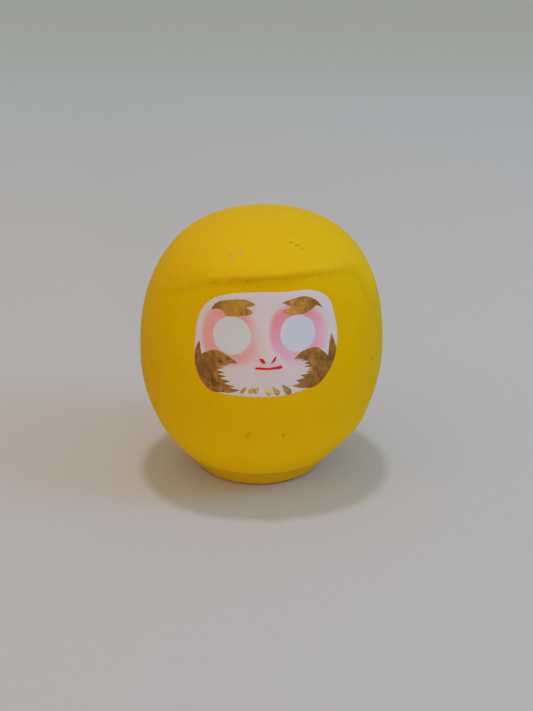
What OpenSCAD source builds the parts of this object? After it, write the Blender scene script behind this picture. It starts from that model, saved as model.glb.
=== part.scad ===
// Daruma doll: a hollow papier-mache body on a weighted clay foot, with a painted face.
// Frame: +Z up, face towards -Y, origin at the centre of the foot's flat underside. Millimetres.
// Left and right are the doll's own, so its left is +X.

/* [Body] */
// Diameter of the body at its widest level
body_w = 80; // [64:1:100]
// Height of the whole doll
body_h = 88; // [80:1:108]
// Height of the widest level above the table
waist_z = 41; // [36:1:46]
// Roundness of the upper half, where 2 is an ellipse and more is squarer
crown_power = 2.35; // [2:0.05:2.8]
// Depth of the lower half's ellipse below the widest level
belly_depth = 45.2; // [42:0.2:52]
// Thickness of the papier-mache wall
wall = 1.6; // [1.2:0.1:2.4]

/* [Foot] */
// Height of the foot, where the body sits on it
foot_h = 6.5; // [5:0.5:8]
// Radius of the flat underside and its rounded edge together
foot_r = 21; // [17:0.5:25]
// Radius of the rounded lower edge
foot_edge_r = 1; // [0.5:0.1:2]
// How far the clay dome rises inside the body
dome_h = 5; // [3:0.5:8]
// Clearance between the clay dome and the body's wall
dome_gap = 0.4; // [0.2:0.1:1]

/* [Face hollow] */
// Height of the hood, from the crease up to the crown
hood_h = 15; // [12:0.5:19]
// Depth of the hollow just under the crease
crease_depth = 2.6; // [1.6:0.1:4]
// How far below the white face the hollow fades out
chin_drop = 15; // [10:0.5:18]
// Distance of the hollow's axis behind the body's axis, which makes the face flatter than the body
hollow_axis_y = 10; // [6:1:14]

/* [Face paint] */
// Thickness of the white ground
ground_t = 0.3; // [0.2:0.05:0.5]
// Thickness of what is painted on the ground
paint_t = 0.25; // [0.15:0.05:0.4]
// Least bare ground between two painted shapes, and along the white face's edge
paint_gap = 0.3; // [0.2:0.05:0.5]
// Width of the white face
face_w = 42.6; // [34:0.2:46]
// Height of the white face
face_h = 30.2; // [27:0.1:32]
// Yellow band between the crease and the white face
brow_band = 3.7; // [2.5:0.1:6]
// Drop from the white face's top edge to the eyes' centres
eye_drop = 12; // [11:0.1:13]
// Distance of each eye's centre from the middle
eye_x = 9.75; // [8:0.05:11]
// Diameter of each blank eye
eye_d = 10.8; // [9:0.2:13]
// Drop from the eyes' centres to the mouth
mouth_drop = 9.4; // [8.6:0.1:10.5]
// Length of the mouth's line
mouth_w = 8.2; // [6:0.2:10]
// Thickness of the mouth's line
mouth_t = 0.9; // [0.6:0.1:1.2]
// Length of each nostril's stroke
nostril_len = 2; // [1.4:0.1:2.4]
// Thickness of each nostril's stroke
nostril_t = 0.8; // [0.5:0.1:1]
// Number of gold dabs along the chin
dab_count = 6; // [3:1:8]
// Length of each gold dab
dab_len = 2; // [1.4:0.1:2.4]
// Distance from one gold dab to the next
dab_step = 2.4; // [1.8:0.1:2.6]

/* [Back seam] */
// Width of the slit that the mould came out through
slit_w = 0.5; // [0.3:0.1:1.5]
// Distance of the slit's upper end below the crown
slit_drop = 14; // [8:1:30]
// Width of the paper strip that closes the slit
strip_w = 9; // [6:0.5:14]
// Thickness of the paper strip
strip_t = 0.3; // [0.2:0.05:0.5]
// How far the strip runs past the slit's upper end
strip_lap = 4; // [2:0.5:6]

/* [Hidden] */
$fn = 64;
beyond = body_w + body_h;
body_r = body_w / 2;
crown_h = body_h - waist_z;
outline_steps = 20;
hollow_steps = 17;
hollow_reach = 3 * wall;
crease_z = body_h - hood_h;
face_top_z = crease_z - brow_band;
face_bottom_z = face_top_z - face_h;
chin_z = face_bottom_z - chin_drop;
eye_z = face_top_z - eye_drop;
mouth_z = eye_z - mouth_drop;
slit_top_z = body_h - slit_drop;
yellow = [0.80, 0.62, 0.05];
white = [0.91, 0.87, 0.84];
eye_white = [0.88, 0.88, 0.84];
gold = [0.50, 0.36, 0.17];
red = [0.80, 0.05, 0.05];
strip_yellow = [0.72, 0.55, 0.08];

// ---- The body's form ----

// The body's radius at a height: half a superellipse above the waist, half an ellipse below it.
function body_radius(z) =
    z < waist_z
        ? body_r * sqrt(1 - pow((waist_z - z) / belly_depth, 2))
        : body_r * pow(1 - pow((z - waist_z) / crown_h, crown_power), 1 / crown_power);

// The same outline by angle, from below zero on the belly to 90 at the crown, moved outwards
// by grow along its normal.
function half_power(angle) = angle < 0 ? 2 : crown_power;
function half_height(angle) = angle < 0 ? belly_depth : crown_h;
function share_out(angle) = pow(cos(angle), 2 / half_power(angle));
function share_up(angle) = pow(abs(sin(angle)), 2 / half_power(angle));
function outline_normal(angle) =
    let (slope = half_power(angle) - 1,
         normal = [pow(share_out(angle), slope) / body_r,
                   sign(angle) * pow(share_up(angle), slope) / half_height(angle)])
    normal / norm(normal);
function outline_point(angle, grow) =
    [body_r * share_out(angle), waist_z + sign(angle) * half_height(angle) * share_up(angle)]
    + grow * outline_normal(angle);

// The whole egg, closed off below the foot.
module egg(grow) {
    side = [for (step = [3 - outline_steps : outline_steps - 1])
            outline_point(90 * step / outline_steps, grow)];
    rotate_extrude()
        polygon(concat([[0, side[0][1]]], side, [[0, body_h + grow]]));
}

// The flatter form that the face follows. It is turned about an axis behind the body's own, and
// it sinks deeper below the body's outline from the chin up to the crease.
function hollow_radius(z) =
    body_radius(z) + hollow_axis_y - crease_depth * (z - chin_z) / (crease_z - chin_z);
module hollow_form(grow) {
    top_z = crease_z + hollow_reach;
    low_z = chin_z - hollow_reach;
    heights = [for (step = [0 : hollow_steps]) low_z + (top_z - low_z) * step / hollow_steps];
    translate([0, hollow_axis_y, 0])
        rotate_extrude()
            polygon(concat([[0, low_z]],
                           [for (z = heights) [hollow_radius(z) + grow, z]],
                           [[0, top_z]]));
}

// The egg with the face's hollow taken out of its front, below the crease.
module body_form(grow) {
    difference() {
        egg(grow);
        difference() {
            translate([-beyond / 2, -beyond, chin_z])
                cube([beyond, beyond, crease_z + grow - chin_z]);
            hollow_form(grow);
        }
    }
}

// ---- The pieces that carry the doll ----

// The papier-mache shell: open where the foot closes it, and slit down its back.
module paper_shell() {
    color(yellow)
        difference() {
            body_form(0);
            body_form(-wall);
            translate([-beyond / 2, -beyond / 2, foot_h - beyond])
                cube([beyond, beyond, beyond]);
            translate([-slit_w / 2, 0, 0])
                cube([slit_w, beyond, slit_top_z]);
        }
}

// The strip of paper pasted over the slit.
module seam_strip() {
    low_z = foot_h + strip_t;
    color(strip_yellow)
        intersection() {
            difference() {
                egg(strip_t);
                egg(0);
            }
            translate([-strip_w / 2, 0, low_z])
                cube([strip_w, beyond, slit_top_z + strip_lap - low_z]);
        }
}

// The clay foot: a ring under the body, and a low dome that keys it inside the wall.
module base_weight() {
    shoulder_r = body_radius(foot_h);
    wall_across = wall * norm([shoulder_r / pow(body_r, 2), (waist_z - foot_h) / pow(belly_depth, 2)])
                  * pow(body_r, 2) / shoulder_r;
    dome_r = shoulder_r - wall_across - dome_gap;
    dome_curve_r = (pow(dome_r, 2) + pow(dome_h, 2)) / (2 * dome_h);
    dome_angle = asin(dome_r / dome_curve_r);
    dome_steps = 8;
    edge_angle = atan(foot_h / (shoulder_r - foot_r));
    edge_x = foot_r - foot_edge_r * tan(edge_angle / 2);
    edge_steps = 4;
    color(yellow)
        rotate_extrude()
            polygon(concat(
                [[0, 0]],
                [for (step = [0 : edge_steps])
                 let (turn = edge_angle * step / edge_steps)
                 [edge_x + foot_edge_r * sin(turn), foot_edge_r * (1 - cos(turn))]],
                [[shoulder_r, foot_h]],
                [for (step = [0 : dome_steps])
                 let (turn = dome_angle * (1 - step / dome_steps))
                 [dome_curve_r * sin(turn), foot_h + dome_h - dome_curve_r * (1 - cos(turn))]]));
}

// ---- Outlines of the painted face, seen from the front: X across and Y up ----

// The points of a polygon whose corners, given as [x, y, radius], are rounded off.
function rounded_corner(before, corner, after) =
    let (at = [corner[0], corner[1]],
         to_before = [before[0], before[1]] - at,
         to_after = [after[0], after[1]] - at,
         u = to_before / norm(to_before),
         v = to_after / norm(to_after),
         half_angle = acos(u * v) / 2,
         middle = (u + v) / norm(u + v),
         centre = at + middle * corner[2] / sin(half_angle),
         sweep = 90 - half_angle,
         side = sign(u[0] * v[1] - u[1] * v[0]))
    [for (step = [-3 : 3])
     let (turn = -side * sweep * step / 3)
     centre - corner[2] * [middle[0] * cos(turn) - middle[1] * sin(turn),
                           middle[0] * sin(turn) + middle[1] * cos(turn)]];
function rounded(corners) =
    [for (i = [0 : len(corners) - 1])
     each rounded_corner(corners[(i + len(corners) - 1) % len(corners)], corners[i],
                         corners[(i + 1) % len(corners)])];

// The white face: broad and square above, rounder below, and brushed on a little unevenly.
module face_outline(inset) {
    half_w = face_w / 2 - inset;
    top_z = face_top_z - inset;
    low_z = face_bottom_z + inset;
    chin_rise = 1;
    polygon(rounded([
        [-half_w, top_z, 9.5],
        [-half_w, low_z + chin_rise, 7.5],
        [0, low_z, 20],
        [half_w, low_z + chin_rise, 9],
        [half_w, top_z, 5.5]]));
}

// One brow for the doll's left side: two lobes towards the nose, and a tail that hooks down.
module brow_outline() {
    translate([eye_x, eye_z + eye_d / 2])
        polygon([[-4.5, 3.5], [-2, 4.5], [3, 5], [6, 3], [8, 1], [5, 2], [3.5, 0.5],
                 [-3, 0.5], [-4, 1.5], [-2, 2]]);
}

// The whiskers of the doll's left cheek: a spike up the face's edge, a round lobe under the eye,
// and ragged bristles towards the mouth.
module whisker_outline() {
    bristles = 5;
    bristle_len = 1.6;
    half_w = face_w / 2;
    lobe_z = eye_z - eye_d / 2 + 1;
    tip_x = 9;
    low_z = face_bottom_z + 2.2;
    fall = (lobe_z - 2.5 - low_z) / bristles;
    difference() {
        intersection() {
            polygon(concat(
                [[half_w - 1.4, lobe_z + 4], [half_w - 2.4, lobe_z - 1.8], [half_w - 4.4, lobe_z],
                 [half_w - 6.6, lobe_z + 0.5], [half_w - 9.4, lobe_z]],
                [for (i = [0 : bristles - 1])
                 let (z = lobe_z - 2.5 - i * fall, x = tip_x + 2 * sin(180 * i / bristles))
                 each [[x, z], [x + bristle_len, z - fall * 0.55]]],
                [[tip_x - 1, low_z], [tip_x + 2, face_bottom_z], [half_w, face_bottom_z],
                 [half_w, lobe_z + 2]]));
            face_outline(paint_gap);
        }
        translate([eye_x, eye_z])
            circle(d = eye_d + 2 * paint_gap);
    }
}

// A brush stroke with round ends, and a leaf-shaped dab.
module stroke(length, thickness) {
    square([length - thickness, thickness], center = true);
    for (side = [-1, 1])
        translate([side * (length - thickness) / 2, 0])
            circle(d = thickness);
}
module dab(length, thickness) {
    curve_r = (pow(length, 2) + pow(thickness, 2)) / (4 * thickness);
    intersection() {
        translate([curve_r - thickness / 2, 0])
            circle(r = curve_r);
        translate([thickness / 2 - curve_r, 0])
            circle(r = curve_r);
    }
}

// ---- The painted face ----

// A film on the hollow's surface, from one height above it to another, cut to an outline.
module film(from, to) {
    intersection() {
        difference() {
            hollow_form(to);
            hollow_form(from);
        }
        rotate([90, 0, 0])
            linear_extrude(height = beyond)
                children();
    }
}
module paint() {
    film(ground_t, ground_t + paint_t)
        children();
}

module face_ground() {
    color(white)
        film(0, ground_t)
            face_outline(0);
}

module eye(side) {
    color(eye_white)
        paint()
            translate([side * eye_x, eye_z])
                circle(d = eye_d);
}
module left_eye() { eye(1); }
module right_eye() { eye(-1); }

module left_brow() {
    color(gold)
        paint()
            brow_outline();
}
module right_brow() {
    color(gold)
        paint()
            mirror([1, 0])
                brow_outline();
}

module left_whiskers() {
    color(gold)
        paint()
            whisker_outline();
}
module right_whiskers() {
    color(gold)
        paint()
            mirror([1, 0])
                whisker_outline();
}

module chin_dabs() {
    dab_t = dab_len * 0.55;
    dab_tilt = -30;
    color(gold)
        paint()
            for (i = [0 : dab_count - 1])
                translate([(i - (dab_count - 1) / 2) * dab_step, face_bottom_z + dab_len])
                    rotate(dab_tilt)
                        dab(dab_len, dab_t);
}

module nostrils() {
    nostril_x = nostril_len;
    nostril_z = mouth_z + mouth_t + nostril_len * 0.7;
    color(red)
        paint()
            for (side = [-1, 1])
                translate([side * nostril_x, nostril_z])
                    rotate(side * 42)
                        stroke(nostril_len, nostril_t);
}

module mouth() {
    color(red)
        paint()
            translate([0, mouth_z])
                rotate(2)
                    stroke(mouth_w, mouth_t);
}

paper_shell();
seam_strip();
base_weight();
face_ground();
left_eye();
right_eye();
left_brow();
right_brow();
left_whiskers();
right_whiskers();
chin_dabs();
nostrils();
mouth();
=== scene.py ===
"""A yellow papier-mache daruma doll with a painted face, on a plain pale floor.

The doll faces -Y and stands on the origin. Lengths are millimetres until a mesh is made.
Left and right are the doll's own, so its left is +X.
"""

import math

import bpy
import numpy as np
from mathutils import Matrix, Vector
from mathutils.geometry import delaunay_2d_cdt


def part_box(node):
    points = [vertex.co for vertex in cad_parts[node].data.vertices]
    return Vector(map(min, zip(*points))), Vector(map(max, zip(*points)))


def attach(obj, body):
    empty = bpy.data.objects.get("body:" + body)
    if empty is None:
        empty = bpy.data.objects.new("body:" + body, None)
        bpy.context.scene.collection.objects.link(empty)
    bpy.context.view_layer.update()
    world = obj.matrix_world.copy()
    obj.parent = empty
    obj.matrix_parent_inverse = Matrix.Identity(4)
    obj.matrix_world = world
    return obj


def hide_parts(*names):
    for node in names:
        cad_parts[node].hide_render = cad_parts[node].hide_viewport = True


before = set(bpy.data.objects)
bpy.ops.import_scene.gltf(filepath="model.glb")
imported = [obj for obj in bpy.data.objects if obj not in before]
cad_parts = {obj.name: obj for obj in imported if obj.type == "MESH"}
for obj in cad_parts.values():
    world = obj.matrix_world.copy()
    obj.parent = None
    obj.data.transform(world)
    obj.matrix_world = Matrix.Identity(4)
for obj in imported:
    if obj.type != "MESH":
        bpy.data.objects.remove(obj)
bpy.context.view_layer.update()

MM = 0.001
random = np.random.RandomState(7)


def node_box(node):
    """A CAD node's lowest and highest corners, in millimetres."""
    low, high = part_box(node)
    return np.array(low) / MM, np.array(high) / MM


# ---- Driving sizes, read from the CAD nodes where it holds them ----

shell_low, shell_high = node_box("paper_shell")
face_low, face_high = node_box("face_ground")
eye_low, eye_high = node_box("left_eye")
foot_low, foot_high = node_box("base_weight")

BODY_R = (shell_high[0] - shell_low[0]) / 2
BODY_TOP = shell_high[2]
FOOT_H = shell_low[2]  # the height of the foot's ring, where the shell begins
FOOT_R = 21.0  # the foot's flat underside
SHOULDER_R = (foot_high[0] - foot_low[0]) / 2
EYE_X = (eye_low[0] + eye_high[0]) / 2
EYE_Z = (eye_low[2] + eye_high[2]) / 2
FACE_BOTTOM = face_low[2]

WAIST_Z = 41.0  # where the body is widest
CROWN_POWER = 2.35  # above the waist the body is a superellipse of this power
BELLY_DEPTH = 45.2  # the half height of the ellipse below the waist
CROWN_H = BODY_TOP - WAIST_Z
WALL = 1.6
STRIP_W = 9.0
STRIP_TOP = node_box("seam_strip")[1][2]

# The hollow that holds the face is turned about an upright axis behind the body's own.
HOLLOW_AXIS = 15.0
HOLLOW_DEPTH = 3.3
HOLLOW_SHALLOWING = 0.52  # the share of its depth that it loses towards the crease
HOLLOW_ROUNDING = 0.7
CHIN_Z = FACE_BOTTOM - 15.0
CREASE_TOP_Z = BODY_TOP - 15.0

# The face's relief.
NOSE_X = 0.8
NOSE_HEIGHT = 1.15
SOCKET_DEPTH = 0.3
MOUTH_HEIGHT = 0.3
HOOD_HEIGHT = 0.5

# How far the body's middle lies towards its left: a height, then the distance there.
LEAN = [(0, -1.0), (8, -0.95), (22, -0.4), (42, 0.0), (55, 0.3), (68, 0.7), (88, 1.15)]

# ---- The body's surface, as functions of azimuth and latitude ----


def smoothstep(low, high, value):
    """0 below low, 1 above high, and smooth between them."""
    share = np.clip((value - low) / (high - low), 0, 1)
    return share * share * (3 - 2 * share)


def bump(distance, width):
    """A bell of height 1 that falls off over width."""
    return np.exp(-((distance / width) ** 2))


def egg_radius(z):
    """The plain body's radius at a height."""
    below = np.clip((WAIST_Z - z) / BELLY_DEPTH, 0, 1)
    above = np.clip((z - WAIST_Z) / CROWN_H, 0, 1)
    belly = np.sqrt(1 - below**2)
    crown = (1 - above**CROWN_POWER) ** (1 / CROWN_POWER)
    return BODY_R * np.where(z < WAIST_Z, belly, crown)


def egg_point(azimuth, latitude):
    """A point of the plain egg. Latitude is below 0 on the belly and pi / 2 at the crown."""
    power = np.where(latitude < 0, 1.0, 2 / CROWN_POWER)
    height = np.where(latitude < 0, -BELLY_DEPTH, CROWN_H)
    out = np.maximum(np.cos(latitude), 1e-9) ** power * BODY_R
    up = WAIST_Z + height * np.abs(np.sin(latitude)) ** power
    return np.stack([out * np.sin(azimuth), -out * np.cos(azimuth), up], -1)


def latitude_at(z):
    """The latitude of a height on the plain egg."""
    below = -np.arcsin(np.clip((WAIST_Z - z) / BELLY_DEPTH, 0, 1))
    above = np.arcsin(np.clip((z - WAIST_Z) / CROWN_H, 0, 1) ** (CROWN_POWER / 2))
    return np.where(z < WAIST_Z, below, above)


# The crease under the hood, as seen from the front: how far it lies below its level at each x.
CREASE_DROP = [
    (-38, 13), (-30, 7), (-24, 4), (-18, 2), (-10, 0.5), (0, 0), (16, -0.5), (24, 0), (28, 2),
    (30, 5), (34, 14),
]
CREASE_BLUR = 15
crease_x = np.linspace(-45, 45, 361)
crease_drop = np.interp(crease_x, *zip(*CREASE_DROP))
crease_blur = np.hanning(CREASE_BLUR) / np.hanning(CREASE_BLUR).sum()
crease_drop = np.convolve(np.pad(crease_drop, CREASE_BLUR // 2, "edge"), crease_blur, "valid")


def crease_height(x):
    """The crease's height: an arch that droops to the right and turns down sharply on the left."""
    return CREASE_TOP_Z - np.interp(x, crease_x, crease_drop)


# Dents and swellings that the mould and the drying left: a direction, a width and a height each.
DENT_COUNT = 16
dent_directions = random.normal(size=(DENT_COUNT, 3))
dent_directions /= np.linalg.norm(dent_directions, axis=1)[:, None]
dent_widths = random.uniform(0.22, 0.42, DENT_COUNT)
dent_heights = random.uniform(-0.28, 0.28, DENT_COUNT)
RIPPLE_COUNT = 70
ripple_directions = random.normal(size=(RIPPLE_COUNT, 3))
ripple_directions /= np.linalg.norm(ripple_directions, axis=1)[:, None]
ripple_widths = random.uniform(0.06, 0.13, RIPPLE_COUNT)
ripple_heights = random.uniform(-0.07, 0.07, RIPPLE_COUNT)


def bells(unit, directions, widths, heights):
    """The sum of soft bells round the given directions, at unit vectors from the body's middle."""
    total = np.zeros(unit.shape[:-1])
    for direction, width, height in zip(directions, widths, heights):
        total += height * np.exp(-2 * (1 - unit @ direction) / width**2)
    return total


def unevenness(points):
    """How far hand work leaves the surface from the plain form, along its normal."""
    unit = points - np.array([0, 0, WAIST_Z])
    unit = unit / np.linalg.norm(unit, axis=-1, keepdims=True)
    total = bells(unit, dent_directions, dent_widths, dent_heights)
    return total + bells(unit, ripple_directions, ripple_widths, ripple_heights)


def side_dents(azimuth, z):
    """What shows on the body's outline: a flat and a ridge low on its left, and two flats high up."""
    turn = np.degrees(azimuth)
    low_left = -0.35 * bump(turn - 78, 26) * bump(z - 11.5, 4.0)
    low_ridge = 0.75 * bump(turn - 78, 24) * bump(z - 17.0, 4.5)
    high_right = -0.45 * bump(turn + 72, 18) * bump(z - 84.5, 2.2)
    crown = -0.45 * smoothstep(79, 88, z)
    return low_left + low_ridge + high_right + crown


def hollow_set_back(points):
    """How far behind the plain egg's front the face's hollow lies."""
    x, y, z = points[..., 0], points[..., 1], points[..., 2]
    depth = HOLLOW_DEPTH * smoothstep(CHIN_Z, EYE_Z + 3, z)
    depth = depth * (1 - HOLLOW_SHALLOWING * smoothstep(EYE_Z + 3, CREASE_TOP_Z + 2, z))
    ring = egg_radius(z) + HOLLOW_AXIS - depth
    hollow_y = HOLLOW_AXIS - np.sqrt(np.maximum(ring**2 - x**2, 0))
    gap = hollow_y - y
    eased = (gap + np.sqrt(gap**2 + HOLLOW_ROUNDING**2)) / 2
    fade_low = smoothstep(CHIN_Z - 4, CHIN_Z + 14, z)
    crease = crease_height(x)
    under_hood = 1 - smoothstep(crease - 0.5, crease + 1.8, z)
    in_front = smoothstep(-2, 8, -y)
    return eased * fade_low * under_hood * in_front


def nose_and_brow(points):
    """The relief moulded into the face, towards the viewer."""
    x, z = points[..., 0], points[..., 2]
    height = NOSE_HEIGHT * smoothstep(EYE_Z + 8, EYE_Z - 5, z)
    height = height * smoothstep(EYE_Z - 11.5, EYE_Z - 6.5, z)
    nose = height * bump(x - NOSE_X, 2.9)
    sockets = 0
    for side in (-1, 1):
        reach = np.hypot(x - side * EYE_X, z - EYE_Z)
        sockets = sockets - SOCKET_DEPTH * bump(reach, 6.5)
    mouth_swell = MOUTH_HEIGHT * bump(x - NOSE_X, 7) * bump(z - (EYE_Z - 10), 4)
    return nose + sockets + mouth_swell


def hood_swell(points):
    """The hood's soft rim above the crease."""
    x, z = points[..., 0], points[..., 2]
    return HOOD_HEIGHT * bump(z - crease_height(x) - 3.4, 2.8) * np.exp(-((x / 30) ** 4))


def lean(z):
    """The body leans a little to its left as it rises, and stands a little to the right."""
    return np.interp(z, *zip(*LEAN))


def surface(azimuth, latitude, inset=0.0):
    """The finished outer surface, or the one a wall's thickness inside it."""
    azimuth, latitude = np.broadcast_arrays(azimuth, latitude)
    points = egg_point(azimuth, latitude)
    step = 1e-3
    beyond = np.minimum(latitude + step, math.pi / 2 - 1e-4)
    along = egg_point(azimuth, beyond) - egg_point(azimuth, latitude - step)
    around = np.stack([np.cos(azimuth), np.sin(azimuth), np.zeros_like(azimuth)], -1)
    normal = np.cross(around, along)
    normal /= np.linalg.norm(normal, axis=-1, keepdims=True)
    front = smoothstep(4, 12, -points[..., 1])
    outward = unevenness(points) + side_dents(azimuth, points[..., 2]) - inset
    outward = outward + front * hood_swell(points)
    moved = points + normal * outward[..., None]
    moved[..., 1] += hollow_set_back(points) - front * nose_and_brow(points)
    moved[..., 0] += lean(moved[..., 2])
    return moved


def surface_normal(azimuth, latitude):
    """The finished surface's outward normal."""
    step = 2e-3
    along = surface(azimuth, latitude + step) - surface(azimuth, latitude - step)
    around = surface(azimuth + step, latitude) - surface(azimuth - step, latitude)
    normal = np.cross(around, along)
    return normal / np.linalg.norm(normal, axis=-1, keepdims=True)


def locate(x, z, back=False):
    """Azimuth and latitude of the surface point with the given x and z, on the front or the back."""
    side = -1.0 if back else 1.0
    height = z.copy()
    azimuth = np.arcsin(np.clip((x - lean(z)) / egg_radius(z), -0.95, 0.95))
    for _ in range(9):
        turn = math.pi - azimuth if back else azimuth
        latitude = latitude_at(height)
        found = surface(turn, latitude)
        radius = np.maximum(egg_radius(height), 1)
        azimuth = azimuth + (x - found[..., 0]) / (radius * np.maximum(np.cos(azimuth), 0.3))
        azimuth = np.clip(azimuth, -1.5, 1.5)
        height = np.clip(height + (z - found[..., 2]), 0.5, BODY_TOP - 0.05)
    return (math.pi - azimuth if back else azimuth), latitude_at(height)


# ---- Mesh making ----

# How far the paints' faces stand above the body, and how far their backs lie inside it.
GROUND_T = 0.12
EYE_T = 0.17
GOLD_T = 0.19
RED_T = 0.20
STRIP_T = 0.20
SUNK = 0.08


def make_object(name, points, faces, material, node):
    """A closed, smoothly shaded mesh in place, riding on the root body, for a CAD node."""
    mesh = bpy.data.meshes.new(name)
    mesh.from_pydata((np.asarray(points) * MM).tolist(), [], faces)
    mesh.validate()
    mesh.update()
    mesh.shade_smooth()
    piece = bpy.data.objects.new(name, mesh)
    bpy.context.scene.collection.objects.link(piece)
    mesh.materials.append(material)
    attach(piece, "root")
    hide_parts(node)
    return piece


def grid_quads(rows, columns, kept, start, flip):
    """Quads of a closed ring grid where kept says so, with its points numbered from start."""
    quads = []
    for row in range(rows - 1):
        for column in range(columns):
            if kept[row, column]:
                after = (column + 1) % columns
                a, b = start + row * columns + column, start + row * columns + after
                quad = (a, b, b + columns, a + columns)
                quads.append(quad[::-1] if flip else quad)
    return quads


def rim_quads(rows, columns, kept, inner_start):
    """Walls between the outer and inner grids round every edge of what is kept."""
    walls = []
    for row in range(rows - 1):
        for column in range(columns):
            if not kept[row, column]:
                continue
            after = (column + 1) % columns
            a, b = row * columns + column, row * columns + after
            sides = (
                (row == 0 or not kept[row - 1, column], b, a),
                (not kept[row, after], b + columns, b),
                (row < rows - 2 and not kept[row + 1, column], a + columns, b + columns),
                (not kept[row, column - 1], a, a + columns),
            )
            for is_edge, start, end in sides:
                if is_edge:
                    walls.append((start, end, end + inner_start, start + inner_start))
    return walls


def make_shell(material):
    """The papier-mache body: outer and inner walls, open at the foot and slit down the back."""
    columns = 360
    low = float(latitude_at(np.array(FOOT_H)))
    crease = float(latitude_at(np.array(CREASE_TOP_Z)))
    rows_low = np.linspace(low, crease - 0.12, 130, endpoint=False)
    rows_crease = np.linspace(crease - 0.12, crease + 0.08, 44, endpoint=False)
    rows_top = np.linspace(crease + 0.08, math.pi / 2 - 0.012, 50)
    latitudes = np.concatenate([rows_low, rows_crease, rows_top])
    rows = len(latitudes)
    azimuths = np.linspace(0, 2 * math.pi, columns, endpoint=False) + math.pi / columns
    azimuth, latitude = np.meshgrid(azimuths, latitudes)
    outer = surface(azimuth, latitude).reshape(-1, 3)
    inner = surface(azimuth, latitude, WALL).reshape(-1, 3)
    bottom = np.arange(columns)
    outer[bottom, 2] = FOOT_H
    inner[bottom, 2] = FOOT_H
    slit_top = latitude_at(np.array(STRIP_TOP - 4.0))
    kept = np.ones((rows - 1, columns), bool)
    kept[latitudes[:-1] < slit_top, columns // 2 - 1] = False
    count = rows * columns
    faces = grid_quads(rows, columns, kept, 0, False)
    faces += grid_quads(rows, columns, kept, count, True)
    faces += rim_quads(rows, columns, kept, count)
    poles = np.array([outer[-columns:].mean(0), inner[-columns:].mean(0)])
    top = count - columns
    for column in range(columns):
        after = (column + 1) % columns
        faces.append((top + column, top + after, 2 * count))
        faces.append((count + top + after, count + top + column, 2 * count + 1))
    points = np.concatenate([outer, inner, poles])
    return make_object("papier_mache_shell", points, faces, material, "paper_shell")


def make_foot(material):
    """The clay foot: a turned ring with a soft shoulder, a flat underside and a dome inside."""
    columns = 180
    shoulder = SHOULDER_R - 0.35
    profile = [
        (FOOT_R - 1.2, 0.0), (FOOT_R - 0.6, 0.08), (FOOT_R - 0.1, 0.35), (FOOT_R + 0.25, 0.8),
        (FOOT_R + 1.1, 1.9), (FOOT_R + 2.1, 3.2), (FOOT_R + 3.1, 4.5), (shoulder - 0.25, 5.75),
        (shoulder, FOOT_H - 0.3), (shoulder - 0.2, FOOT_H - 0.06), (shoulder - 0.7, FOOT_H),
        (SHOULDER_R - 3.2, FOOT_H), (SHOULDER_R - 3.4, FOOT_H + 0.3),
        (SHOULDER_R - 8, FOOT_H + 2.6), (SHOULDER_R - 15, FOOT_H + 4.4), (4, FOOT_H + 5.0),
    ]
    azimuths = np.linspace(0, 2 * math.pi, columns, endpoint=False)
    turns = np.array(profile)
    radius, height = turns[:, 0][:, None], turns[:, 1][:, None]
    wobble = 1 + 0.006 * np.sin(2 * azimuths + 0.8) + 0.003 * np.sin(5 * azimuths + 2)
    x = radius * wobble * np.sin(azimuths) + lean(height)
    y = -radius * wobble * np.cos(azimuths)
    below_rim = smoothstep(0.5, 4, height) * (height < FOOT_H - 0.4)
    z = height + 0.12 * np.sin(3 * azimuths + 1) * below_rim
    points = np.stack([x, y, np.broadcast_to(z, x.shape)], -1).reshape(-1, 3)
    rows = len(profile)
    faces = grid_quads(rows, columns, np.ones((rows - 1, columns), bool), 0, False)
    faces.append(tuple(range(columns))[::-1])
    faces.append(tuple(range((rows - 1) * columns, rows * columns)))
    return make_object("clay_foot", points, faces, material, "base_weight")


# ---- Outlines, as closed rings of points seen from the front ----


def ring_spline(outline, step):
    """A closed curve through the outline's points, smooth but for its tips, about step apart."""
    doubled = [point[:2] for point in outline for _ in range(len(point) - 1)]
    points = np.array(doubled, float)
    before, after, beyond = np.roll(points, 1, 0), np.roll(points, -1, 0), np.roll(points, -2, 0)
    ring = []
    for p0, p1, p2, p3 in zip(before, points, after, beyond):
        length = np.linalg.norm(p2 - p1)
        count = max(2, int(length / step)) if length > 0 else 0
        for t in np.arange(count) / max(count, 1):
            straight, ease, turn = p2 - p0, 2 * p0 - 5 * p1 + 4 * p2 - p3, 3 * p1 - p0 - 3 * p2 + p3
            ring.append(p1 + 0.5 * (straight * t + ease * t**2 + turn * t**3))
    return np.array(ring)


def cut_corners(points, passes=2, share=0.22):
    """A closed ring with its corners cut off, a few times over."""
    points = np.asarray(points, float)
    for _ in range(passes):
        after = np.roll(points, -1, 0)
        near, far = points + (after - points) * share, points + (after - points) * (1 - share)
        points = np.stack([near, far], 1).reshape(-1, 2)
    return points


def even_ring(points, step):
    """The ring's points spaced about step apart along its straight stretches."""
    ring = []
    for p1, p2 in zip(points, np.roll(points, -1, 0)):
        count = max(1, int(round(np.linalg.norm(p2 - p1) / step)))
        ring += [p1 + (p2 - p1) * t for t in np.arange(count) / count]
    return np.array(ring)


def ring_area(ring):
    """The ring's signed area, which is positive where it runs anticlockwise."""
    x, y = ring[:, 0], ring[:, 1]
    return (x * np.roll(y, -1) - np.roll(x, -1) * y).sum() / 2


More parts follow.
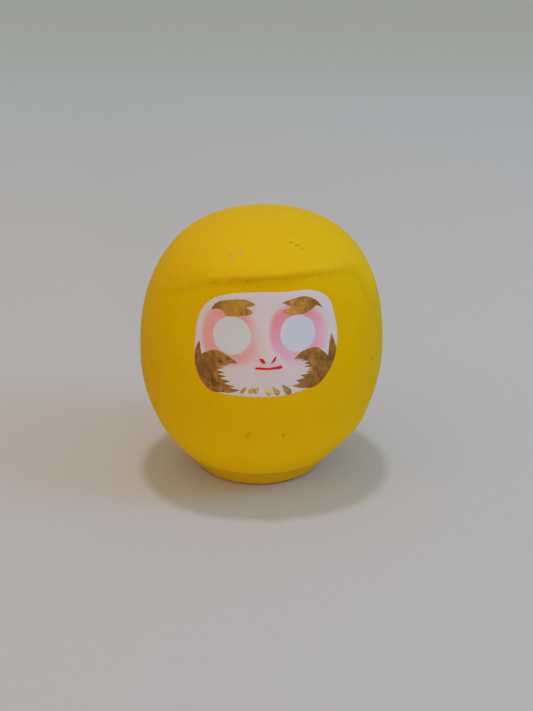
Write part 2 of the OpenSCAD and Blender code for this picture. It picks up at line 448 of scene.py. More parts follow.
def ring_distance(points, ring):
    """Each point's distance from the ring's line."""
    start, end = ring, np.roll(ring, -1, 0)
    best = np.full(len(points), 1e9)
    for a, b in zip(start, end):
        along = b - a
        share = np.clip(((points - a) @ along) / max(along @ along, 1e-12), 0, 1)
        gap = points - a - share[:, None] * along
        best = np.minimum(best, np.einsum("ij,ij->i", gap, gap))
    return np.sqrt(best)


def inside_ring(points, ring):
    """Which points lie inside the ring."""
    inside = np.zeros(len(points), bool)
    x, y = points[:, 0], points[:, 1]
    for (x1, y1), (x2, y2) in zip(ring, np.roll(ring, -1, 0)):
        crosses = (y1 > y) != (y2 > y)
        if crosses.any():
            where = x1 + (y - y1) / (y2 - y1 if y2 != y1 else 1e-12) * (x2 - x1)
            inside ^= crosses & (x < where)
    return inside


def fill_ring(ring, spacing, edge):
    """Points and triangles that fill a ring, with rows of points close inside its edge."""
    if ring_area(ring) < 0:
        ring = ring[::-1]
    low, high = ring.min(0), ring.max(0)
    rows = np.arange(low[1], high[1], spacing * 0.866)
    columns = np.arange(low[0], high[0], spacing)
    x, y = np.meshgrid(columns, rows)
    x = x + (np.arange(len(rows)) % 2)[:, None] * spacing / 2
    field = np.stack([x.ravel(), y.ravel()], -1)
    field = field[inside_ring(field, ring)]
    field = field[ring_distance(field, ring) > edge + spacing * 0.6]
    tangent = np.roll(ring, -1, 0) - np.roll(ring, 1, 0)
    tangent /= np.maximum(np.linalg.norm(tangent, axis=1), 1e-9)[:, None]
    inward = np.stack([-tangent[:, 1], tangent[:, 0]], -1)
    inner_rows = []
    for share in (0.45, 1.0):
        row = ring + inward * edge * share
        good = inside_ring(row, ring)
        good[good] = ring_distance(row[good], ring) > edge * share * 0.93
        inner_rows.append(row[good])
    points = np.concatenate([ring, *inner_rows, field])
    count = len(ring)
    edges = [(i, (i + 1) % count) for i in range(count)]
    found, _, triangles, *_ = delaunay_2d_cdt([Vector(p) for p in points], edges, [], 1, 1e-5)
    return np.array([p[:] for p in found]), [tuple(t) for t in triangles]


def make_film(name, rings, top, material, node, spacing=0.45, edge=0.25, dome=0.0,
              under=0.0, back=False, rough=0.0):
    """A film of paint or paper whose face is top above the body, lying on what is under above it.

    dome rounds a stroke up towards its middle, and rough makes its face uneven.
    """
    points, faces, flats = [], [], []
    for ring in rings:
        flat, triangles = fill_ring(ring, spacing, edge)
        away = ring_distance(flat, ring)
        azimuth, latitude = locate(flat[:, 0], flat[:, 1], back)
        base, normal = surface(azimuth, latitude), surface_normal(azimuth, latitude)
        rise = smoothstep(-edge, edge, away) * 2 - 1
        lift = under + (top - under) * np.maximum(rise, 0) ** 0.6
        lift = lift + dome * np.sqrt(np.clip(away / max(away.max(), 1e-6), 0, 1))
        lift = lift + rough * grain(flat) * rise
        start, count = sum(len(p) for p in points), len(flat)
        points += [base + normal * lift[:, None], base - normal * SUNK]
        turned = [t[::-1] for t in triangles] if back else triangles
        faces += [tuple(start + i for i in t) for t in turned]
        faces += [tuple(start + count + i for i in t[::-1]) for t in turned]
        faces += [
            (start + b, start + a, start + count + a, start + count + b)
            for a, b in open_edges(turned)
        ]
        flats += [flat, flat]
    piece = make_object(name, np.concatenate(points), faces, material, node)
    return piece, np.concatenate(flats)


def open_edges(triangles):
    """The directed edges that only one triangle has."""
    edges = set()
    for a, b, c in triangles:
        for edge in ((a, b), (b, c), (c, a)):
            if edge[::-1] in edges:
                edges.remove(edge[::-1])
            else:
                edges.add(edge)
    return edges


def grain(flat):
    """A fixed uneven pattern, about -1 to 1, at points of the face's plane."""
    x, y = flat[:, 0], flat[:, 1]
    return (
        np.sin(x * 2.1 + 1.3 * np.sin(y * 1.7))
        + np.sin(y * 2.9 + 1.1 * np.sin(x * 1.3 + 2))
        + np.sin((x + y) * 4.3 + 0.7)
    ) / 3


def paint_attribute(piece, name, values):
    """Stores one number per point, for a material to read."""
    attribute = piece.data.attributes.new(name, "FLOAT", "POINT")
    attribute.data.foreach_set("value", np.asarray(values, np.float32))


# Outlines run round a shape. A third entry, TIP, makes a point sharp.
TIP = 1

# The white ground: square above, rounder below, brushed on by hand.
GROUND_OUTLINE = [
    (-21, 53.5), (-20, 61), (-17, 66), (-12, 68.5), (-4, 69.5), (6, 69.5), (14, 69.5),
    (19, 67), (21, 62), (22, 55), (20.5, 48.5), (17, 42.5), (12, 40.5), (4, 39), (-6, 39),
    (-15, 40), (-19, 43), (-21, 48),
]
RIGHT_BROW = [
    (-16, 64, TIP), (-14.5, 66), (-12, 67), (-6, 67.5), (-2.5, 66, TIP), (-5.5, 65, TIP),
    (-3.5, 64), (-5, 63), (-10.5, 62.5), (-12.5, 64), (-14, 64.5),
]
LEFT_BROW = [
    (5, 66.5, TIP), (8.5, 67.5), (12, 68), (15.5, 66.5), (17.5, 64, TIP), (15.5, 65), (14, 64),
    (11.5, 63), (7.5, 63), (5.5, 64), (8, 65, TIP),
]


def bristles(tips, notch):
    """A brushed edge: the tips in turn, with the gaps between them set back by notch in x."""
    edge = [(*tips[0], TIP)]
    for (x, z), (next_x, next_z) in zip(tips, tips[1:]):
        edge += [((x + next_x) / 2 + notch, (z + next_z) / 2, TIP), (next_x, next_z, TIP)]
    return edge


RIGHT_WHISKERS = [
    (-19.5, 55, TIP), (-19, 51, TIP), (-17, 52), (-14.5, 52.5), (-11, 51),
    *bristles([(-8, 49), (-10, 48.5), (-10.5, 48), (-12, 47.5), (-12, 46), (-11.5, 45),
               (-10.5, 43.5), (-9, 42), (-7.5, 41)], -2.5),
    (-10.5, 40), (-13, 40), (-16, 40), (-18.5, 42), (-20, 44.5), (-21, 48), (-21, 51), (-20.5, 53),
]
LEFT_WHISKERS = [
    (20, 56.5, TIP), (21, 54), (21.5, 51), (20, 46.5), (17, 42.5), (14.5, 41), (11, 41),
    *bristles([(8, 42), (9, 43.5), (10.5, 45), (12, 46), (12.5, 46.5), (11.5, 47.5), (11.5, 48.5),
               (10.5, 49.5), (8.5, 50)], 2),
    (11, 52), (15, 53), (17.5, 51.5), (19, 50, TIP), (19.5, 54),
]


def ellipse_ring(x, z, half_w, half_h, count=72):
    """An ellipse about a centre."""
    angle = np.linspace(0, 2 * math.pi, count, endpoint=False)
    return np.stack([x + half_w * np.cos(angle), z + half_h * np.sin(angle)], -1)


def stroke_ring(stroke, count=9):
    """A brush stroke with round ends. Each point holds x, z and half the width there."""
    stroke = np.asarray(stroke, float)
    steps = np.linspace(0, len(stroke) - 1, 24)
    line = np.stack([np.interp(steps, np.arange(len(stroke)), stroke[:, i]) for i in range(3)], -1)
    line, widths = line[:, :2], line[:, 2]
    tangent = np.gradient(line, axis=0)
    tangent /= np.linalg.norm(tangent, axis=1)[:, None]
    across = np.stack([-tangent[:, 1], tangent[:, 0]], -1)
    ends = []
    for end, way in ((-1, 1), (0, -1)):
        angles = np.radians(np.linspace(-78, 78, count))[:, None]
        turned = tangent[end] * np.cos(angles) + across[end] * np.sin(angles)
        ends.append(line[end] + way * widths[end] * turned)
    near, far = line - across * widths[:, None], line + across * widths[:, None]
    return np.concatenate([near, ends[0], far[::-1], ends[1]])


def drop_ring(x, z, tip_x, tip_z, width, count=30):
    """A dab that is round at its foot (x, z) and runs up to a point."""
    foot, tip = np.array([x, z]), np.array([tip_x, tip_z])
    along = (tip - foot) / np.linalg.norm(tip - foot)
    across = np.array([-along[1], along[0]])
    half = np.linalg.norm(tip - foot) / 2
    angle = np.linspace(0, 2 * math.pi, count, endpoint=False)
    middle = (foot + tip) / 2
    length = half * np.cos(angle)
    breadth = width / 2 * np.sin(angle) * (1 - 0.55 * np.cos(angle)) / 1.12
    return middle + length[:, None] * along + breadth[:, None] * across


# Each eye's disc: the centre's x and z, half its width and half its height.
RIGHT_EYE = (-EYE_X - 0.1, EYE_Z - 0.4, 5.65, 5.6)
LEFT_EYE = (EYE_X, EYE_Z + 0.05, 5.35, 5.45)

# The dabs along the chin: x and z of the round end, x and z of the pointed end, and the width.
CHIN_DABS = [
    (-7.5, 40, -5.5, 42, 1.25), (-5, 40, -3.5, 42, 1.5), (-3.5, 40, -2, 42, 1.5),
    (1.5, 39.5, 0, 41.5, 1.75), (4, 39.5, 2, 42, 1.75), (7.5, 39.5, 5, 42.5, 2),
]
# Strokes of red: x, z and half the width at each point.
NOSTRIL_STROKES = [
    [(-1.5, 50.5, 0.3), (-1, 50.25, 0.6), (-0.5, 49.75, 0.5)],
    [(3, 51, 0.3), (2.5, 50.25, 0.45), (1.75, 49.5, 0.15)],
]
MOUTH_STROKES = [
    [(-2.75, 47.75, 0.35), (-1, 47.75, 0.4), (1, 47.75, 0.35), (4.5, 48, 0.55)],
]


# ---- Materials ----


class Nodes:
    """Short names for making a material's nodes."""

    def __init__(self, name):
        self.material = bpy.data.materials.new(name)
        self.material.use_nodes = True
        self.tree = self.material.node_tree
        self.shader = self.tree.nodes["Principled BSDF"]
        self.place = self.add("ShaderNodeTexCoord").outputs["Object"]

    def add(self, kind, **settings):
        """A new node with the given settings."""
        node = self.tree.nodes.new(kind)
        for key, value in settings.items():
            setattr(node, key, value)
        return node

    def link(self, source, target):
        """Joins an output to an input."""
        self.tree.links.new(source, target)

    def noise(self, scale, detail=3.0, roughness=0.55, stretch=(1, 1, 1), distortion=0.0):
        """Noise whose scale is in cells per metre of the object."""
        mapping = self.add("ShaderNodeMapping")
        mapping.inputs["Scale"].default_value = stretch
        self.link(self.place, mapping.inputs["Vector"])
        node = self.add("ShaderNodeTexNoise")
        node.inputs["Scale"].default_value = scale
        node.inputs["Detail"].default_value = detail
        node.inputs["Roughness"].default_value = roughness
        node.inputs["Distortion"].default_value = distortion
        self.link(mapping.outputs["Vector"], node.inputs["Vector"])
        return node.outputs["Fac"]

    def range(self, value, low, high, to_low=0.0, to_high=1.0):
        """value between low and high, spread smoothly from to_low to to_high."""
        node = self.add("ShaderNodeMapRange", interpolation_type="SMOOTHSTEP")
        ends = (("From Min", low), ("From Max", high), ("To Min", to_low), ("To Max", to_high))
        for key, number in ends:
            node.inputs[key].default_value = number
        self.link(value, node.inputs["Value"])
        return node.outputs["Result"]

    def math(self, operation, first, second=None):
        """An operation on one or two values, each a number or a socket."""
        node = self.add("ShaderNodeMath", operation=operation)
        for socket, value in zip(node.inputs, (first, second)):
            if value is None:
                continue
            if isinstance(value, (int, float)):
                socket.default_value = value
            else:
                self.link(value, socket)
        return node.outputs["Value"]

    def mix(self, share, first, second):
        """A blend of two colours, each a colour or a socket. share is how much of the second."""
        node = self.add("ShaderNodeMix", data_type="RGBA", clamp_factor=True)
        sockets = (node.inputs[0], node.inputs[6], node.inputs[7])
        for socket, value in zip(sockets, (share, first, second)):
            if isinstance(value, (int, float)):
                socket.default_value = value
            elif isinstance(value, tuple):
                socket.default_value = (*value, 1.0)
            else:
                self.link(value, socket)
        return node.outputs[2]

    def split_place(self):
        """The X, Y and Z of the place being shaded, in metres."""
        node = self.add("ShaderNodeSeparateXYZ")
        self.link(self.place, node.inputs[0])
        return node.outputs

    def attribute(self, name):
        """The number that paint_attribute stored under a name."""
        return self.add("ShaderNodeAttribute", attribute_name=name).outputs["Fac"]

    def near(self, points, radius, soft, wander):
        """1 within radius of any of the points, in metres, with a wandering edge."""
        total = None
        for point in points:
            node = self.add("ShaderNodeVectorMath", operation="DISTANCE")
            self.link(self.place, node.inputs[0])
            node.inputs[1].default_value = point
            away = self.math("ADD", node.outputs["Value"], wander)
            mark = self.range(away, radius, radius + soft, 1.0, 0.0)
            total = mark if total is None else self.math("MAXIMUM", total, mark)
        return total

    def finish(self, colour, roughness, relief, relief_depth, relief_strength, **constants):
        """Joins the colour, the roughness and the relief to the shader."""
        self.link(colour, self.shader.inputs["Base Color"])
        if isinstance(roughness, (int, float)):
            self.shader.inputs["Roughness"].default_value = roughness
        else:
            self.link(roughness, self.shader.inputs["Roughness"])
        for key, value in constants.items():
            self.shader.inputs[key.replace("_", " ")].default_value = value
        node = self.add("ShaderNodeBump")
        node.inputs["Strength"].default_value = relief_strength
        node.inputs["Distance"].default_value = relief_depth
        self.link(relief, node.inputs["Height"])
        self.link(node.outputs["Normal"], self.shader.inputs["Normal"])
        return self.material


def on_surface(azimuth_degrees, z):
    """A point of the finished surface, in metres, for a mark to sit at."""
    latitude = latitude_at(np.array(float(z)))
    point = surface(np.array(math.radians(azimuth_degrees)), latitude)
    return tuple(float(v) * MM for v in point)


# ---- Colours ----

YELLOW = (0.75, 0.452, 0.0005)
YELLOW_DEEP = (0.71, 0.422, 0.0004)
YELLOW_PALE = (0.80, 0.475, 0.003)
# The hood's yellow: paler and bluer, a painted highlight standing in for the light from above.
YELLOW_TOP_LIT = (0.83, 0.515, 0.010)
# A lighter yellow low on the body: painted light from the floor.
YELLOW_FLOOR_LIT = (0.90, 0.57, 0.001)
# Dark brown, for dirt and for painted shade in the crease and at the foot's joint.
DIRT_AND_SHADE = (0.20, 0.12, 0.02)
CHIP_GREY = (0.42, 0.40, 0.38)
# A darker orange for the foot's painted shade.
FOOT_SHADE = (0.40, 0.19, 0.01)
CLAY_DARK = (0.20, 0.06, 0.03)
CLAY_LIGHT = (0.33, 0.14, 0.075)
GROUND_WHITE = (0.665, 0.575, 0.555)
GROUND_PALE = (0.685, 0.60, 0.585)
# Painted light: one eye white in two tints, warm for the doll's right eye and cool for its left, as
# the side lights tint them.
EYE_WARM_LIT = (0.61, 0.61, 0.565)
EYE_WARM_LIT_PALE = (0.63, 0.63, 0.59)
EYE_COOL_LIT = (0.575, 0.60, 0.645)
EYE_COOL_LIT_PALE = (0.595, 0.62, 0.66)
SALMON = (0.78, 0.265, 0.235)
ROSE = (0.79, 0.27, 0.47)
BROW_DARK = (0.24, 0.105, 0.018)
BROW_GOLD = (0.52, 0.25, 0.032)
BROW_LIGHT = (0.66, 0.36, 0.06)
WHISKER_DARK = (0.15, 0.065, 0.014)
WHISKER_GOLD = (0.42, 0.19, 0.028)
WHISKER_LIGHT = (0.56, 0.28, 0.05)
DAB_DARK = (0.24, 0.12, 0.035)
DAB_GOLD = (0.86, 0.54, 0.14)
DAB_LIGHT = (1.0, 0.80, 0.42)
RED_DARK = (0.68, 0.001, 0.001)
RED_LIGHT = (0.84, 0.002, 0.001)
FLOOR_NEAR = (0.60, 0.573, 0.560)
FLOOR_FAR_COOL_LIGHT = (0.66, 0.715, 0.86)
SKY = (1.0, 0.965, 0.74, 1)

# Small marks on the shell: degrees round from the front towards the doll's left, and mm up.
CHIPS = ((-24.2, 79.0), (-22.0, 78.2), (-21.6, 80.2), (-16.8, 79.6))
DIRT_SPOTS = ((-7.9, 25.2), (-7.0, 26.4), (9.0, 25.4), (58.6, 43.6), (-61.7, 42.2))


def yellow_paint(name):
    """Matte poster yellow brushed over paper, finely mottled, with grime where dust settles."""
    n = Nodes(name)
    mottle = n.range(n.noise(520, 4, 0.7), 0.30, 0.70)
    colour = n.mix(mottle, YELLOW_DEEP, YELLOW)
    broad = n.range(n.noise(60, 3), 0.35, 0.70)
    colour = n.mix(n.math("MULTIPLY", broad, 0.25), colour, YELLOW_DEEP)
    pale = n.range(n.noise(1100, 3, 0.7), 0.55, 0.72)
    colour = n.mix(n.math("MULTIPLY", pale, 0.35), colour, YELLOW_PALE)
    speck = n.range(n.noise(1500, 2, 0.7), 0.66, 0.76)
    colour = n.mix(n.math("MULTIPLY", speck, 0.22), colour, DIRT_AND_SHADE)
    return n, colour


def lit_low_down(n, colour):
    """The yellow, painted lighter towards the foot: painted light standing in for light thrown up off
    the floor.
    """
    floor_light_share = n.range(n.split_place()["Z"], 0.006, 0.036, 0.95, 0.0)
    return n.mix(floor_light_share, colour, YELLOW_FLOOR_LIT)


def paint_surface(n):
    """The paint's fine relief: paper fibres under it and brush marks in it."""
    fibre = n.noise(900, 4, 0.6, (1, 1, 0.5), 0.6)
    brush = n.noise(260, 3, 0.5, (1, 1, 0.18))
    lumps = n.noise(110, 2)
    relief = n.math("ADD", n.math("MULTIPLY", fibre, 0.55), n.math("MULTIPLY", brush, 0.7))
    return n.math("ADD", relief, n.math("MULTIPLY", lumps, 1.2))


def shell_material():
    """The body's yellow, with a painted highlight on the hood, painted light lower down, the crease's
    painted shade and dirt, chips on the hood, a scratch and dirt spots.
    """
    n, colour = yellow_paint("yellow_paint_on_paper")
    wander = n.math("MULTIPLY", n.math("SUBTRACT", n.noise(1400, 3), 0.5), 0.0011)
    # Painted highlight: the hood is mixed towards a paler, bluer yellow, as if lit from above.
    top_light_share = n.range(n.noise(300, 3, 0.6), 0.2, 0.8, 0.62, 0.86)
    colour = n.mix(n.math("MULTIPLY", n.attribute("hood"), top_light_share), colour, YELLOW_TOP_LIT)
    colour = lit_low_down(n, colour)
    crease = n.attribute("crease")
    broken = n.range(n.noise(700, 4, 0.75), 0.48, 0.66)
    # Painted shade: an even dark line along the crease. The broken specks after it are dirt.
    colour = n.mix(n.math("MULTIPLY", crease, 0.10), colour, DIRT_AND_SHADE)
    colour = n.mix(n.math("MULTIPLY", n.math("MULTIPLY", crease, broken), 0.32), colour, DIRT_AND_SHADE)
    chips = [on_surface(a, z) for a, z in CHIPS]
    chip = n.near(chips, 0.00026, 0.00012, wander)
    colour = n.mix(chip, colour, CHIP_GREY)
    spots = [on_surface(a, z) for a, z in DIRT_SPOTS]
    spot = n.near(spots, 0.0001, 0.0007, wander)
    colour = n.mix(n.math("MULTIPLY", spot, 0.42), colour, DIRT_AND_SHADE)
    line = [on_surface(17 + 1.4 * i, 82.2 - 0.28 * i + 0.25 * (i % 3)) for i in range(7)]
    scratch = n.near(line, 0.00012, 0.0003, wander)
    colour = n.mix(n.math("MULTIPLY", scratch, 0.5), colour, DIRT_AND_SHADE)
    relief = paint_surface(n)
    relief = n.math("SUBTRACT", relief, n.math("MULTIPLY", chip, 1.5))
    roughness = n.range(n.noise(300, 3), 0.3, 0.7, 0.5, 0.66)
    return n.finish(colour, roughness, relief, 0.00011, 0.55, Specular_IOR_Level=0.03)


def foot_material():
    """The foot's yellow, a little darker as painted shade, with a band of painted shade under the
    shell's rim, worn through to bare clay at its lower edge and underneath.
    """
    n, colour = yellow_paint("yellow_paint_on_clay")
    height = n.split_place()["Z"]
    # Painted shade: the whole foot is mixed a little towards a darker orange.
    colour = n.mix(0.06, colour, FOOT_SHADE)
    edge = n.math("ADD", height, n.math("MULTIPLY", n.noise(500, 3), 0.0012))
    bare = n.range(edge, 0.0009, 0.0013, 1.0, 0.0)
    clay = n.mix(n.noise(700, 4), CLAY_DARK, CLAY_LIGHT)
    colour = n.mix(bare, colour, clay)
    # Painted shade: a dark band at the top of the foot, under the shell's rim.
    ring = n.range(height, 0.0056, 0.0064)
    colour = n.mix(n.math("MULTIPLY", ring, 0.35), colour, DIRT_AND_SHADE)
    return n.finish(colour, 0.7, paint_surface(n), 0.00013, 0.6, Specular_IOR_Level=0.15)


def strip_material():
    """The same yellow over a strip of torn paper, whose long fibres show through."""
    n, colour = yellow_paint("yellow_paint_on_seam_strip")
    # The strip is painted lighter towards the foot too, as painted light from the floor.
    colour = n.mix(0.12, lit_low_down(n, colour), YELLOW_PALE)
    fibre = n.noise(650, 5, 0.65, (1, 1, 0.22), 1.2)
    relief = n.math("ADD", paint_surface(n), n.math("MULTIPLY", fibre, 0.9))
    return n.finish(colour, 0.6, relief, 0.00013, 0.6, Specular_IOR_Level=0.03)


def ground_material():
    """Chalk white with a soft pink blush blown on round the eyes."""
    n = Nodes("white_chalk_ground")
    broad = n.range(n.noise(90, 3), 0.3, 0.7)
    colour = n.mix(broad, GROUND_WHITE, GROUND_PALE)
    spray = n.range(n.noise(2600, 2, 0.8), 0.25, 0.75, 0.82, 1.15)
    blush = n.math("MULTIPLY", n.attribute("blush"), spray)
    warm = n.mix(n.attribute("magenta"), SALMON, ROSE)
    colour = n.mix(blush, colour, warm)
    brush = n.noise(180, 3, 0.5, (1, 1, 0.4))
    relief = n.math("ADD", n.math("MULTIPLY", n.noise(700, 4), 0.5), brush)
    return n.finish(colour, 0.62, relief, 0.00006, 0.45, Specular_IOR_Level=0.15)


def eye_material(name, dark, light):
    """A blank eye's clean white, brushed unevenly between two shades, in the tint that the light on
    its side gives it.
    """
    n = Nodes(name)
    broad = n.range(n.noise(120, 3), 0.3, 0.7)
    colour = n.mix(broad, dark, light)
    relief = n.math("ADD", n.math("MULTIPLY", n.noise(800, 3), 0.5), n.noise(200, 2))
    return n.finish(colour, 0.6, relief, 0.00004, 0.4, Specular_IOR_Level=0.15)


def gold_material(name, dark, middle, light, dark_from, mirrored=False):
    """Bronze powder paint: mottled where it is thick or thin, with a dull metal sheen.

    It darkens between the two places in dark_from, along X or away from the middle.
    """
    n = Nodes(name)
    thick = n.range(n.noise(330, 5, 0.66, (1, 1, 1), 0.8), 0.30, 0.66)
    colour = n.mix(thick, dark, middle)
    streak = n.range(n.noise(800, 3, 0.6, (1, 1, 0.35)), 0.52, 0.72)
    colour = n.mix(n.math("MULTIPLY", streak, 0.55), colour, light)
    flake = n.range(n.noise(4200, 2, 0.7), 0.62, 0.74)
    colour = n.mix(n.math("MULTIPLY", flake, 0.3), colour, light)
    side = n.split_place()["X"]
    if mirrored:
        side = n.math("ABSOLUTE", side)
    colour = n.mix(n.range(side, *dark_from, 0.0, 0.75), colour, dark)
    brush = n.noise(900, 3, 0.6, (1, 1, 0.4))
    relief = n.math("ADD", brush, n.math("MULTIPLY", n.noise(4200, 2), 0.3))
    roughness = n.range(n.noise(500, 3), 0.3, 0.7, 0.42, 0.6)
    return n.finish(colour, roughness, relief, 0.00007, 0.6, Metallic=0.3, Specular_IOR_Level=0.25)


def red_material():
    """Thick glossy vermilion."""
    n = Nodes("red_lacquer")
    colour = n.mix(n.noise(600, 3), RED_DARK, RED_LIGHT)
    return n.finish(colour, 0.35, n.noise(900, 3), 0.00004, 0.4, Specular_IOR_Level=0.22)


def floor_material():
    """Pale cloth, woven finely enough that it reads as plain, painted cooler and lighter away from
    the doll as painted light.
    """
    n = Nodes("pale_floor")
    length = n.add("ShaderNodeVectorMath", operation="LENGTH")
    n.link(n.place, length.inputs[0])
    # Painted light: the floor turns cooler and lighter farther out, as if a cooler light fell there.
    far = n.range(length.outputs["Value"], 0.15, 1.2)
    colour = n.mix(far, FLOOR_NEAR, FLOOR_FAR_COOL_LIGHT)
    weave = None
    for axis in ("X", "Y"):
        wave = n.add("ShaderNodeTexWave", bands_direction=axis)
        wave.inputs["Scale"].default_value = 320.0
        wave.inputs["Distortion"].default_value = 0.6
        wave.inputs["Detail"].default_value = 1.0
        n.link(n.place, wave.inputs["Vector"])
        threads = wave.outputs["Fac"]
        weave = threads if weave is None else n.math("MAXIMUM", weave, threads)
    return n.finish(colour, 0.9, weave, 0.00012, 0.5, Specular_IOR_Level=0.15)


# ---- The blush, as numbers on the ground's points ----

# Round each eye from the viewer's right, anticlockwise in eighths of a turn:
# how far the pink reaches, how soft its edge is, and how strong it is.
RIGHT_BLUSH = (
    (7.6, 2.6, 0.46), (7.9, 1.9, 0.74), (9.0, 1.6, 0.85), (9.6, 1.2, 0.76),
    (9.0, 0.9, 0.78), (9.8, 1.0, 0.80), (9.0, 2.0, 0.80), (9.4, 2.6, 0.72),
)
LEFT_BLUSH = (
    (9.2, 2.2, 0.56), (9.2, 1.9, 0.80), (8.6, 1.6, 1.00), (9.6, 1.3, 1.05),
    (8.6, 1.0, 0.90), (8.2, 1.5, 0.64), (8.8, 2.8, 0.50), (9.6, 2.2, 0.66),
)


def round_table(table, turns):
    """The table's rows, smoothly blended, at an angle given in turns."""
    table = np.array(table)
    place = (turns % 1) * len(table)
    first = np.floor(place).astype(int) % len(table)
    share = (place - np.floor(place))[:, None]
    share = share * share * (3 - 2 * share)
    return table[first] * (1 - share) + table[(first + 1) % len(table)] * share


def blush_amount(x, z):
    """How much pink lies at a point of the face: a ring blown on round each eye."""
    total = np.zeros_like(x)
    for side, table in ((-1, RIGHT_BLUSH), (1, LEFT_BLUSH)):
        dx, dz = x - side * EYE_X, z - EYE_Z + 0.3
        reach, soft, strength = round_table(table, np.arctan2(dz, dx) / (2 * math.pi)).T
        fade = 1 - smoothstep(reach - soft, reach + soft * 0.6, np.hypot(dx, dz))
        total = np.maximum(total, strength * fade)
    return total


def magenta_amount(x, z):
    """Where the pink turns cooler: low on the doll's left cheek and outwards."""
    low_down = smoothstep(EYE_Z + 7, EYE_Z - 4, z - 0.25 * (x - EYE_X))
    return smoothstep(0, 4, x) * (0.22 + 0.52 * low_down)


# ---- Painted highlight on the hood, and the crease's painted shade and dirt, as numbers on the shell's points ----


def hood_light_amount(points):
    """Painted highlight: how much lighter the hood is painted, as if lit from above: above the crease
    in front, and gradually higher up behind.
    """
    x, y, z = points[:, 0], points[:, 1], points[:, 2]
    above = z - crease_height(x - lean(z))
    softness = 2.2 + 13 * smoothstep(-6, -34, x) + 9 * smoothstep(22, 38, x)
    front = smoothstep(0, 1, (above + 0.6) / (softness + 0.6))
    behind = smoothstep(-4, 14, z - CREASE_TOP_Z)
    share = smoothstep(-14, 6, y)
    return front * (1 - share) + behind * share


def crease_shade_and_dirt(points):
    """How dark the crease is painted at points of the shell, strongest in the middle: painted shade
    along it, with dirt.
    """
    x, y, z = points[:, 0], points[:, 1], points[:, 2]
    line = bump(z - crease_height(x - lean(z)), 0.8)
    return line * (y < -4) * np.clip(1.2 - np.abs((x - 2) / 34) ** 2, 0, 1)


# ---- Building the doll ----


def build_doll():
    """Makes every visible piece, from the shell out to the last dab."""
    shell = make_shell(shell_material())
    co = np.zeros(len(shell.data.vertices) * 3, np.float32)
    shell.data.vertices.foreach_get("co", co)
    places = co.reshape(-1, 3) / MM
    paint_attribute(shell, "crease", crease_shade_and_dirt(places))
    paint_attribute(shell, "hood", hood_light_amount(places))
    make_foot(foot_material())

    half = STRIP_W / 2
    strip_low = FOOT_H + 0.3
    sides = np.linspace(strip_low, STRIP_TOP, 60)
    torn = random.normal(0, 0.10, (2, len(sides)))
    strip = np.concatenate([
        np.stack([half + torn[0], sides], -1),
        np.stack([-half + torn[1], sides], -1)[::-1],
    ])
    make_film("seam_paper", [even_ring(cut_corners(strip, 1), 0.5)], STRIP_T, strip_material(),
              "seam_strip", spacing=0.9, edge=0.4, back=True, rough=0.02)

    ground, flat = make_film("white_ground", [ring_spline(GROUND_OUTLINE, 0.25)], GROUND_T,
                             ground_material(), "face_ground",
                             spacing=0.4, edge=0.25, rough=0.006)
    paint_attribute(ground, "blush", blush_amount(flat[:, 0], flat[:, 1]))
    paint_attribute(ground, "magenta", magenta_amount(flat[:, 0], flat[:, 1]))

    on_ground = GROUND_T - 0.02
    # Painted light: the eyes are one white in two tints, warm on the doll's right and cool on its
    # left.
    warm = eye_material("blank_eye_white", EYE_WARM_LIT, EYE_WARM_LIT_PALE)
    cool = eye_material("blank_eye_cool_white", EYE_COOL_LIT, EYE_COOL_LIT_PALE)
    for name, node, disc, blank in (
        ("right_blank_eye", "right_eye", RIGHT_EYE, warm),
        ("left_blank_eye", "left_eye", LEFT_EYE, cool),
    ):
        make_film(name, [ellipse_ring(*disc)], EYE_T, blank, node,
                  spacing=0.5, edge=0.15, under=on_ground)

    brow_gold = gold_material("gold_paint_brows", BROW_DARK, BROW_GOLD, BROW_LIGHT,
                              (0.0118, 0.0150), mirrored=True)
    whisker_gold = gold_material("gold_paint_whiskers", WHISKER_DARK, WHISKER_GOLD, WHISKER_LIGHT,
                                 (0.006, 0.045))
    for name, node, outline, gold in (
        ("right_gold_brow", "right_brow", RIGHT_BROW, brow_gold),
        ("left_gold_brow", "left_brow", LEFT_BROW, brow_gold),
        ("right_gold_whiskers", "right_whiskers", RIGHT_WHISKERS, whisker_gold),
        ("left_gold_whiskers", "left_whiskers", LEFT_WHISKERS, whisker_gold),
    ):
        make_film(name, [ring_spline(outline, 0.2)], GOLD_T, gold, node,
                  spacing=0.4, edge=0.14, under=on_ground, rough=0.02)

    dab_gold = gold_material("gold_paint_dabs", DAB_DARK, DAB_GOLD, DAB_LIGHT, (0.0005, 0.007))
    dabs = [drop_ring(*dab) for dab in CHIN_DABS]
    make_film("gold_chin_dabs", dabs, GOLD_T, dab_gold, "chin_dabs",
              spacing=0.3, edge=0.12, dome=0.06, under=on_ground)

    red = red_material()
    for name, node, strokes in (("red_nostrils", "nostrils", NOSTRIL_STROKES),
                                ("red_mouth", "mouth", MOUTH_STROKES)):
        rings = [stroke_ring(stroke) for stroke in strokes]
        make_film(name, rings, RED_T, red, node,
                  spacing=0.25, edge=0.12, dome=0.10, under=on_ground)


# ---- Floor, camera and lights ----

# The camera, in degrees and metres. It aims a little below LOOK_AT and to the picture's right.
LOOK_AT = Vector((0, 0, 0.04277))
CAMERA_ELEVATION = 20.0
CAMERA_AZIMUTH = -2.0
CAMERA_DISTANCE = 0.3441
VIEW_ANGLE = 38.0  # across the picture's longer side
AIM_RIGHT = 0.00183
AIM_DOWN = 0.0049

FLOOR_HALF = 40.0  # metres


def add_floor():
    """A wide pale floor that fills the view."""
    mesh = bpy.data.meshes.new("floor")
    corners = [(x * FLOOR_HALF, y * FLOOR_HALF, 0) for x, y in ((-1, -1), (1, -1), (1, 1), (-1, 1))]
    mesh.from_pydata(corners, [], [(0, 1, 2, 3)])
    floor = bpy.data.objects.new("floor", mesh)
    bpy.context.scene.collection.objects.link(floor)
    mesh.materials.append(floor_material())


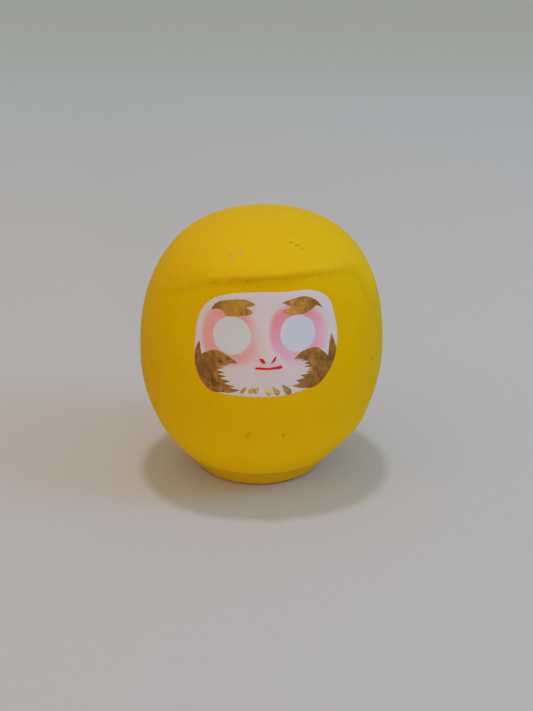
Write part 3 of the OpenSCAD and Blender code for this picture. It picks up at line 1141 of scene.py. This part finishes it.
def add_camera():
    """A camera that looks down on the doll's front, a little from its right."""
    place = from_doll(CAMERA_AZIMUTH, CAMERA_ELEVATION, CAMERA_DISTANCE)
    turn = math.radians(CAMERA_AZIMUTH)
    right = Vector((math.cos(turn), math.sin(turn), 0))
    up = (place - LOOK_AT).normalized().cross(right)
    data = bpy.data.cameras.new("camera")
    data.sensor_width = 36
    data.lens = data.sensor_width / 2 / math.tan(math.radians(VIEW_ANGLE / 2))
    data.clip_start, data.clip_end = 0.01, 20
    camera = bpy.data.objects.new("camera", data)
    bpy.context.scene.collection.objects.link(camera)
    camera.location = place
    aim = LOOK_AT + right * AIM_RIGHT - up * AIM_DOWN
    camera.rotation_euler = (aim - place).to_track_quat("-Z", "Y").to_euler()
    bpy.context.scene.camera = camera


def from_doll(azimuth, elevation, distance):
    """A place round the doll: azimuth from its front towards its left, in degrees."""
    turn, rise = math.radians(azimuth), math.radians(elevation)
    flat = Vector((math.sin(turn), -math.cos(turn), 0)) * math.cos(rise)
    return LOOK_AT + (flat + Vector((0, 0, math.sin(rise)))) * distance


def add_light(kind, name, place, strength, colour, **settings):
    """A lamp at a place, turned to the doll."""
    data = bpy.data.lights.new(name, kind)
    data.energy, data.color = strength, colour
    for key, value in settings.items():
        setattr(data, key, value)
    light = bpy.data.objects.new(name, data)
    bpy.context.scene.collection.objects.link(light)
    light.location = place
    light.rotation_euler = (LOOK_AT - place).to_track_quat("-Z", "Y").to_euler()


def add_lights():
    """A lamp overhead, one low in front, and a large soft one on each side."""
    add_light("AREA", "overhead", from_doll(192, 84.5, 1.0), 2.35, (0.80, 0.76, 1.0), size=0.09)
    add_light("AREA", "low_front", from_doll(8, 4, 1.1), 2.45, (0.94, 0.76, 1.0), size=0.10)
    add_light("AREA", "right_side", from_doll(-70, 20, 1.0), 0.7, (1.0, 0.34, 0.05), size=0.35)
    add_light("AREA", "left_side", from_doll(78, 34, 1.0), 3.0, (0.08, 0.48, 1.0), size=0.4)
    world = bpy.data.worlds.new("world")
    world.use_nodes = True
    background = world.node_tree.nodes["Background"]
    background.inputs["Color"].default_value = SKY
    background.inputs["Strength"].default_value = 0.505
    bpy.context.scene.world = world
    bpy.context.scene.view_settings.view_transform = "Standard"


build_doll()
add_floor()
add_camera()
add_lights()
